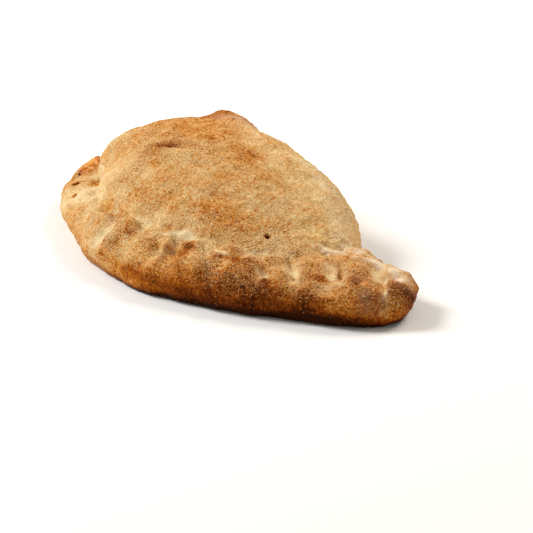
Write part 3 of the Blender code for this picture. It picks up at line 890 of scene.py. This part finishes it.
# the crust's finish; a noise is its scale per metre, detail, roughness and distortion
crustFinish = {
    "broad": (75, 4, 0.6, 0.4),
    "middle": (230, 3, 0.6, 0.0),
    "fine": (700, 2, 0.6, 0.0),
    "swing": {"broad": 0.34, "middle": 0.40, "fine": 1.55},  # of the bake
    "fineShare": ((0.50, 0.68), (0.80, 1.0)),  # by how thick the meal lies
    "calm": ((0.58, 1.0), (0.80, 0.40)),       # dark crust is more even
    "tones": (
        (0.10, (0.78, 0.62, 0.40)),
        (0.25, (0.68, 0.480, 0.245)),
        (0.38, (0.60, 0.365, 0.158)),
        (0.50, (0.55, 0.278, 0.090)),
        (0.60, (0.48, 0.190, 0.038)),
        (0.70, (0.36, 0.112, 0.010)),
        (0.80, (0.22, 0.052, 0.004)),
        (0.89, (0.10, 0.020, 0.001)),
        (0.98, (0.03, 0.007, 0.001)),
    ),
    "amberTint": (1.02, 0.84, 0.45),
    "yellow": (38, 3, 0.6, 0.3),
    "yellowTint": (1.02, 1.03, 0.84),
    "yellowPlaces": ((0.40, 0.0), (0.65, 1.0)),
    "yellowShare": 0.35,
    "grainScale": 830.0,
    "grainEdge": ((0.22, 1.0), (0.50, 0.0)),
    "grainsKept": 0.75,        # share of the cells that show a grain where the meal is thickest
    "grainShare": 0.6,
    "grainTones": ((0.3, (0.80, 0.56, 0.25)), (0.6, (0.70, 0.40, 0.12)), (0.9, (0.34, 0.13, 0.02))),
    "powder": (900, 2, 0.5, 0.0),
    "rawTones": ((0.3, (0.69, 0.52, 0.25)), (0.7, (0.81, 0.66, 0.42))),
    "flourTones": ((0.3, (0.74, 0.56, 0.38)), (0.7, (0.85, 0.71, 0.56))),
    "gloss": 0.03,
    "roughness": {
        "Scale": 160.0, "Detail": 3.0, "Roughness": 0.55, "Low": 0.3, "High": 0.7, "From": 0.5, "To": 0.72,
    },
    "pores": (330, 4, 0.6, 0.0),
    "finePores": (950, 2, 0.6, 0.0),
    "finePoreShare": 0.55,
    "grainRelief": 0.30,
    "bumpStrength": 0.6,
    "bumpHeight": 0.0012,      # in metres
}


def crustMaterial():
    # bake with its painted shade, plus three sizes of noise, picks the tone; amber, yellow, grains, raw dough
    # and flour lie over it
    material, tree, shader = makeNodes("bakedCrust")
    links = tree.links
    finish = crustFinish
    where = put(tree, "ShaderNodeTexCoord").outputs["Object"]

    def noise(name):  # the named noise on Object coordinates
        scale, detail, rough, warp = finish[name]
        node = put(tree, "ShaderNodeTexNoise", _Scale=scale, _Detail=detail, _Roughness=rough)
        node.inputs["Distortion"].default_value = warp
        links.new(where, node.inputs["Vector"])
        return node.outputs["Fac"]

    def swung(name):  # the noise about 0, times its swing
        return math2(tree, "MULTIPLY", math2(tree, "SUBTRACT", noise(name), 0.5), finish["swing"][name])

    def attribute(name):  # a value that the mesh holds at each vertex
        return put(tree, "ShaderNodeAttribute", attribute_name=name).outputs["Fac"]

    bakeAndShade = attribute("bakeAndShade")
    fine = math2(tree, "MULTIPLY", swung("fine"), ramp(tree, attribute("meal"), finish["fineShare"]))
    uneven = math2(tree, "ADD", math2(tree, "ADD", swung("broad"), swung("middle")), fine)
    calm = ramp(tree, bakeAndShade, finish["calm"])
    tone = math2(tree, "ADD", bakeAndShade, math2(tree, "MULTIPLY", uneven, calm), True)
    colour = ramp(tree, tone, finish["tones"])
    orange = blend(tree, 1.0, colour, finish["amberTint"], "MULTIPLY")
    colour = blend(tree, attribute("amber"), colour, orange)
    yellow = ramp(tree, noise("yellow"), finish["yellowPlaces"])
    yellower = blend(tree, 1.0, colour, finish["yellowTint"], "MULTIPLY")
    colour = blend(tree, math2(tree, "MULTIPLY", yellow, finish["yellowShare"]), colour, yellower)
    # pale grains of meal baked into the crust, each a cell that is kept or left out
    cells = put(tree, "ShaderNodeTexVoronoi", _Scale=finish["grainScale"], _Randomness=1.0)
    links.new(where, cells.inputs["Vector"])
    dot = ramp(tree, cells.outputs["Distance"], finish["grainEdge"])
    chance = put(tree, "ShaderNodeSeparateColor")
    links.new(cells.outputs["Color"], chance.inputs[0])
    kept = math2(tree, "MULTIPLY", attribute("meal"), finish["grainsKept"])
    grain = math2(tree, "MULTIPLY", dot, math2(tree, "GREATER_THAN", kept, chance.outputs[0]))
    grainShare = math2(tree, "MULTIPLY", grain, finish["grainShare"])
    colour = blend(tree, grainShare, colour, ramp(tree, tone, finish["grainTones"]))
    powder = noise("powder")
    colour = blend(tree, attribute("raw"), colour, ramp(tree, powder, finish["rawTones"]))
    colour = blend(tree, attribute("flour"), colour, ramp(tree, powder, finish["flourTones"]))
    links.new(colour, shader.inputs["Base Color"])
    links.new(mottled(tree, **finish["roughness"]), shader.inputs["Roughness"])
    shader.inputs["Specular IOR Level"].default_value = finish["gloss"]

    finePores = math2(tree, "MULTIPLY", noise("finePores"), finish["finePoreShare"])
    height = math2(tree, "ADD", noise("pores"), finePores)
    height = math2(tree, "ADD", height, math2(tree, "MULTIPLY", grain, finish["grainRelief"]))
    bump = put(tree, "ShaderNodeBump", _Strength=finish["bumpStrength"], _Distance=finish["bumpHeight"])
    links.new(height, bump.inputs["Height"])
    links.new(bump.outputs["Normal"], shader.inputs["Normal"])
    return material


def addObject(name, mesh, material):
    # the mesh as an object at the origin, with its material
    mesh.materials.append(material)
    obj = bpy.data.objects.new(name, mesh)
    bpy.context.scene.collection.objects.link(obj)
    return obj


grid = roughenedDough()
crustMesh = closedGridMesh("crust", grid["x"], grid["y"], grid["z"])
addAttribute(crustMesh, "bakeAndShade", bakeAndShadeMap(grid))
addAttribute(crustMesh, "meal", mealMap(grid))
addAttribute(crustMesh, "amber", amberMap(grid))
addAttribute(crustMesh, "raw", patchMap(grid, rawPatches))
addAttribute(crustMesh, "flour", patchMap(grid, flourPatches))
crust = addObject("crust", crustMesh, crustMaterial())
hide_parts("dough")
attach(crust, "root")
print("crust:", len(crustMesh.polygons), "faces")


# grains of meal baked onto the crust
mealGrains = {
    "count": 24000,
    "size": (0.33, 0.86),    # smallest and largest half width in mm
    "sizeSpread": (1.6, 3.0),  # more small ones than large ones
    "narrow": 0.65,          # least width for its length
    "flat": 0.5,
    "lumpy": 0.18,
    "sunk": 0.46,            # share of a grain that lies in the crust
    "lowest": 3.0,           # none below this height, in mm
    "firstRow": 1.3,         # nor on the rows before this, which lie under the edge
    "toneSpread": 0.10,
    "toneShift": -0.05,
    "tones": (
        (0.20, (0.88, 0.67, 0.36)),
        (0.50, (0.80, 0.49, 0.21)),
        (0.72, (0.53, 0.245, 0.085)),
        (0.90, (0.24, 0.08, 0.014)),
    ),
    "spots": {"Scale": 2200.0, "Low": 0.35, "High": 0.65, "From": 0.75, "To": 1.1},
    "gloss": 0.04,
    "roughness": 0.6,
    "seed": 31,
}


def pickSpots(g, count, weight, seed):
    # random places on the surface: a cell by area times weight, then an even point of its four corners
    local = np.random.default_rng(seed)
    p = np.stack([g["x"], g["y"], g["z"]], -1)[:, 1:-1]
    a, b = np.roll(p, -1, 0)[:, :-1], p[:, 1:]
    p, far = p[:, :-1], np.roll(p, -1, 0)[:, 1:]
    area = np.linalg.norm(np.cross(a - p, b - p), axis=2)
    chance = np.cumsum((area * weight[:, 1:-2]).ravel())
    cell = np.searchsorted(chance, local.uniform(0, chance[-1], count))
    i, j = np.unravel_index(cell, area.shape)
    u, v = local.uniform(0, 1, (2, count, 1))
    place = (p[i, j] * (1 - u) + a[i, j] * u) * (1 - v) + (b[i, j] * (1 - u) + far[i, j] * u) * v
    normal = np.cross(a[i, j] - p[i, j], b[i, j] - p[i, j])
    normal /= np.maximum(np.linalg.norm(normal, axis=1, keepdims=True), 1e-9)
    return place, -normal, i, j + 1, local


def turnedAxes(normal, local):
    # a random direction less its part along the normal, and the cross product of both
    spare = local.normal(size=normal.shape)
    first = spare - (spare * normal).sum(1, keepdims=True) * normal
    first /= np.linalg.norm(first, axis=1, keepdims=True)
    return first, np.cross(normal, first)


def pebble():
    # eight sides between the points at distance 1 on the three axes
    points = [(1, 0, 0), (0, 1, 0), (-1, 0, 0), (0, -1, 0), (0, 0, 1), (0, 0, -1)]
    faces = [(0, 1, 4), (1, 2, 4), (2, 3, 4), (3, 0, 4), (1, 0, 5), (2, 1, 5), (3, 2, 5), (0, 3, 5)]
    return np.array(points, float), np.array(faces)


def scatterMesh(name, place, normal, halves, sunk, local, extra):
    # each grain is the pebble stretched along its own three axes and set into the crust
    shape, faces = pebble()
    count = len(place)
    first, second = turnedAxes(normal, local)
    lumpy = mealGrains["lumpy"]
    lumpy = shape[None] * (1 + local.uniform(-lumpy, lumpy, (count, len(shape), 1)))
    lumpy = lumpy * halves[:, None, :]
    middle = place + normal * halves[:, 2:] * (1 - 2 * sunk)
    points = middle[:, None] + lumpy[..., :1] * first[:, None] + lumpy[..., 1:2] * second[:, None]
    points = points + lumpy[..., 2:] * normal[:, None]
    allFaces = faces[None] + np.arange(count)[:, None, None] * len(shape)
    mesh = bpy.data.meshes.new(name)
    mesh.from_pydata((points.reshape(-1, 3) * mm).tolist(), [], allFaces.reshape(-1, 3).tolist())
    mesh.shade_smooth()
    for key, values in extra.items():
        layer = mesh.attributes.new(key, "FLOAT", "POINT")
        layer.data.foreach_set("value", np.repeat(values, len(shape)).astype(np.float32))
    return mesh


def mealMaterial():
    # tone by how far the crust under the grain is baked, painted shade included, times a fine mottle
    material, tree, shader = makeNodes("mealGrain")
    links = tree.links
    bakeAndShade = put(tree, "ShaderNodeAttribute", attribute_name="bakeAndShade").outputs["Fac"]
    colour = ramp(tree, bakeAndShade, mealGrains["tones"])
    colour = blend(tree, 1.0, colour, mottled(tree, **mealGrains["spots"]), "MULTIPLY")
    links.new(colour, shader.inputs["Base Color"])
    shader.inputs["Roughness"].default_value = mealGrains["roughness"]
    shader.inputs["Specular IOR Level"].default_value = mealGrains["gloss"]
    return material


def makeMeal():
    # grains where the square of the meal's thickness says, each with the tone of its place
    count = mealGrains["count"]
    bakesAndShade, thick = bakeAndShadeMap(grid), mealMap(grid)
    allowed = (grid["z"] > mealGrains["lowest"]) * (grid["places"] > mealGrains["firstRow"])
    place, normal, i, j, local = pickSpots(grid, count, thick ** 2 * allowed, mealGrains["seed"])
    low, high = mealGrains["size"]
    half = low + (high - low) * local.beta(*mealGrains["sizeSpread"], count)
    across = local.uniform(mealGrains["narrow"], 1, count)
    halves = half[:, None] * np.stack([np.ones(count), across, np.full(count, mealGrains["flat"])], 1)
    tone = bakesAndShade[i, j] + local.normal(0, mealGrains["toneSpread"], count) + mealGrains["toneShift"]
    mesh = scatterMesh("meal", place, normal, halves, mealGrains["sunk"], local, {"bakeAndShade": tone})
    grains = addObject("meal", mesh, mealMaterial())
    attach(grains, "root")
    print("meal:", count, "grains")


makeMeal()


# cheese and sauce that oozed from the seam at the blunt end and baked on
ooze = {
    "strand": (  # x, y, z and half width in mm along it
        (-130, 4, 26.5, 1.3), (-126, -1, 27.2, 2.4), (-121, -6, 26, 3.5), (-116, -12, 25.7, 3.5),
        (-116, -17, 24.5, 2.7), (-119, -21, 22.5, 1.3),
    ),
    "flat": 0.9,                 # height for its width
    "roundEnds": (6, 0.03),      # a larger power makes blunter ends; the least square of the end's width
    "softening": 9,              # rings that the path is averaged over
    "lumps": ((6, 0.30, 41), (2.6, 0.15, 42)),  # wave length in mm, share of the half width and seed
    "around": 28,
    "along": 60,
    "burntEnds": 0.32,           # how much darker its ends are
    "tones": (
        (0.36, (0.78, 0.42, 0.11)),
        (0.50, (0.72, 0.27, 0.035)),
        (0.62, (0.44, 0.115, 0.012)),
        (0.76, (0.14, 0.028, 0.005)),
    ),
    "mottle": {"Scale": 170.0, "Detail": 4.0, "Roughness": 0.6},
    "roughness": {"Low": 0.3, "High": 0.7, "From": 0.30, "To": 0.55},
    "bubbles": {"Scale": 600.0, "Detail": 3.0},  # the relief's own mottle
    "bumpStrength": 0.5,
    "bumpHeight": 0.0008,        # in metres
    "gloss": 0.3,
}


def strandGrid(strand, along, around):
    # ring(turn) = path + radius * lump * (cos side + flat sin up), on the path through the points softened
    # by a running mean; radius = half width * sqrt(1 - |2 share - 1|^power), and |2 share - 1|^3 is burnt
    p = np.array(strand, float)
    t = np.linspace(0, len(p) - 1, along)
    k = np.arange(len(p))
    path = np.stack([np.interp(t, k, p[:, c]) for c in range(4)], 1)
    rings = ooze["softening"]
    padded = np.pad(path, ((rings // 2, rings // 2), (0, 0)), "edge")
    path = np.stack([np.convolve(padded[:, c], np.ones(rings) / rings, "valid") for c in range(4)], 1)
    share = np.linspace(0, 1, along)
    power, least = ooze["roundEnds"]
    radius = path[:, 3] * np.sqrt(np.clip(1 - np.abs(2 * share - 1) ** power, least, 1))
    ahead = np.gradient(path[:, :3], axis=0)
    ahead /= np.linalg.norm(ahead, axis=1, keepdims=True)
    side = np.cross(ahead, (0, 0, 1))
    side /= np.linalg.norm(side, axis=1, keepdims=True)
    up = np.cross(side, ahead)
    turn = np.arange(around) * 2 * np.pi / around
    ring = np.cos(turn)[None, :, None] * side[:, None]
    ring = ring + ooze["flat"] * np.sin(turn)[None, :, None] * up[:, None]
    points = path[:, None, :3] + radius[:, None, None] * ring
    lump = 1.0
    for size, amount, seed in ooze["lumps"]:
        lump = lump + amount * wavyNoise(points[..., 0], points[..., 1], points[..., 2], size, seed)
    burnt = np.repeat(np.abs(2 * share - 1) ** 3, around)  # one value a vertex of each ring
    return path[:, None, :3] + radius[:, None, None] * ring * lump[..., None], burnt


def oozeMaterial():
    # mottled from cheese to sauce, darker where it is burnt
    material, tree, shader = makeNodes("oozedSauce")
    links = tree.links
    burnt = put(tree, "ShaderNodeAttribute", attribute_name="burnt").outputs["Fac"]
    burnt = math2(tree, "MULTIPLY", burnt, ooze["burntEnds"])
    tone = math2(tree, "ADD", mottled(tree, **ooze["mottle"]), burnt, True)
    links.new(ramp(tree, tone, ooze["tones"]), shader.inputs["Base Color"])
    links.new(mottled(tree, **ooze["mottle"], **ooze["roughness"]), shader.inputs["Roughness"])
    shader.inputs["Specular IOR Level"].default_value = ooze["gloss"]
    bump = put(tree, "ShaderNodeBump", _Strength=ooze["bumpStrength"], _Distance=ooze["bumpHeight"])
    links.new(mottled(tree, **ooze["bubbles"]), bump.inputs["Height"])
    links.new(bump.outputs["Normal"], shader.inputs["Normal"])
    return material


def makeOoze():
    # the strand's rings joined by quads, with a fan to a pole in the middle of the first and last ring
    around, along = ooze["around"], ooze["along"]
    # moved as far as the dough was, to lie on it
    shift = np.array([grid["x"].mean() - grid["plainX"].mean(), grid["y"].mean() - grid["plainY"].mean(), 0])
    rings, burnt = strandGrid(ooze["strand"], along, around)
    rings = rings + shift
    points = np.vstack([rings.reshape(-1, 3), rings[:1].mean(1), rings[-1:].mean(1)])
    i = np.arange(along - 1)[:, None] * around
    j = np.arange(around)[None, :]
    after = (j + 1) % around
    quads = np.stack([i + j, i + around + j, i + around + after, i + after], -1).reshape(-1, 4)
    j, after, last, pole = j[0], after[0], (along - 1) * around, along * around
    firstFan = np.stack([np.full(around, pole), j, after], 1)
    lastFan = np.stack([np.full(around, pole + 1), after + last, j + last], 1)
    faces = quads.tolist() + firstFan.tolist() + lastFan.tolist()
    mesh = bpy.data.meshes.new("ooze")
    mesh.from_pydata((points * mm).tolist(), [], faces)
    mesh.shade_smooth()
    layer = mesh.attributes.new("burnt", "FLOAT", "POINT")
    layer.data.foreach_set("value", np.append(burnt, [1, 1]).astype(np.float32))
    strand = addObject("ooze", mesh, oozeMaterial())
    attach(strand, "root")
    print("ooze:", len(faces), "faces")


makeOoze()


stage = {
    "floorHalf": 6.0,        # half the floor's width, in metres
    "floorColour": (0.86, 0.855, 0.84),
    "floorRoughness": 0.9,
    "sky": 0.375,            # strength of the even light from all round
    "skyColour": (1.0, 0.965, 0.91),
    "aim": (0, 0, 0.02),     # where the lamps point
    "lamps": {  # place, power in watts, width, colour
        "leftLight": ((-0.80, -0.68, 1.00), 20.6, 0.6, (1.0, 1.0, 1.0)),
        "rightLight": ((0.10, 1.05, 1.00), 13.4, 0.8, (1.0, 0.93, 0.84)),
    },
}


def makeFloor():
    # one flat square at height 0
    size = stage["floorHalf"]
    mesh = bpy.data.meshes.new("floor")
    corners = [(-size, -size, 0), (size, -size, 0), (size, size, 0), (-size, size, 0)]
    mesh.from_pydata(corners, [], [(0, 1, 2, 3)])
    material, tree, shader = makeNodes("paleFloor")
    shader.inputs["Base Color"].default_value = (*stage["floorColour"], 1)
    shader.inputs["Roughness"].default_value = stage["floorRoughness"]
    floor = addObject("floor", mesh, material)


def makeLamp(name, place, power, size, colour):
    # a soft disk turned to the aim
    light = bpy.data.lights.new(name, "AREA")
    light.energy = power
    light.color = colour
    light.shape = "DISK"
    light.size = size
    lamp = bpy.data.objects.new(name, light)
    lamp.location = place
    x, y, z = (to - at for to, at in zip(stage["aim"], place))
    lamp.rotation_euler = (math.atan2(math.hypot(x, y), -z), 0, math.atan2(y, x) - math.pi / 2)
    bpy.context.scene.collection.objects.link(lamp)


def makeStage():
    # floor, lamps and an even sky
    makeFloor()
    for name, (place, power, width, colour) in stage["lamps"].items():
        makeLamp(name, place, power, width, colour)
    world = bpy.data.worlds.new("studio")
    world.use_nodes = True
    back = world.node_tree.nodes["Background"]
    back.inputs["Color"].default_value = (*stage["skyColour"], 1)
    back.inputs["Strength"].default_value = stage["sky"]
    bpy.context.scene.world = world
    bpy.context.scene.view_settings.view_transform = "Standard"


view = {
    "place": (0.7007, -0.5501, 0.317),  # in metres
    "down": 20.2,            # degrees below level
    "turn": 50,              # degrees round from +Y
    "lens": 108.07,          # mm
    "sensor": 36.0,
    "nearest": 0.01,
}


def makeCamera():
    # a long lens turned round from +Y and tipped down from level
    camera = bpy.data.cameras.new("camera")
    camera.sensor_width = view["sensor"]
    camera.lens = view["lens"]
    camera.clip_start = view["nearest"]
    obj = bpy.data.objects.new("camera", camera)
    obj.location = view["place"]
    obj.rotation_euler = (math.radians(90 - view["down"]), 0, math.radians(view["turn"]))
    bpy.context.scene.collection.objects.link(obj)
    bpy.context.scene.camera = obj


makeStage()
makeCamera()
print("stage and camera made")
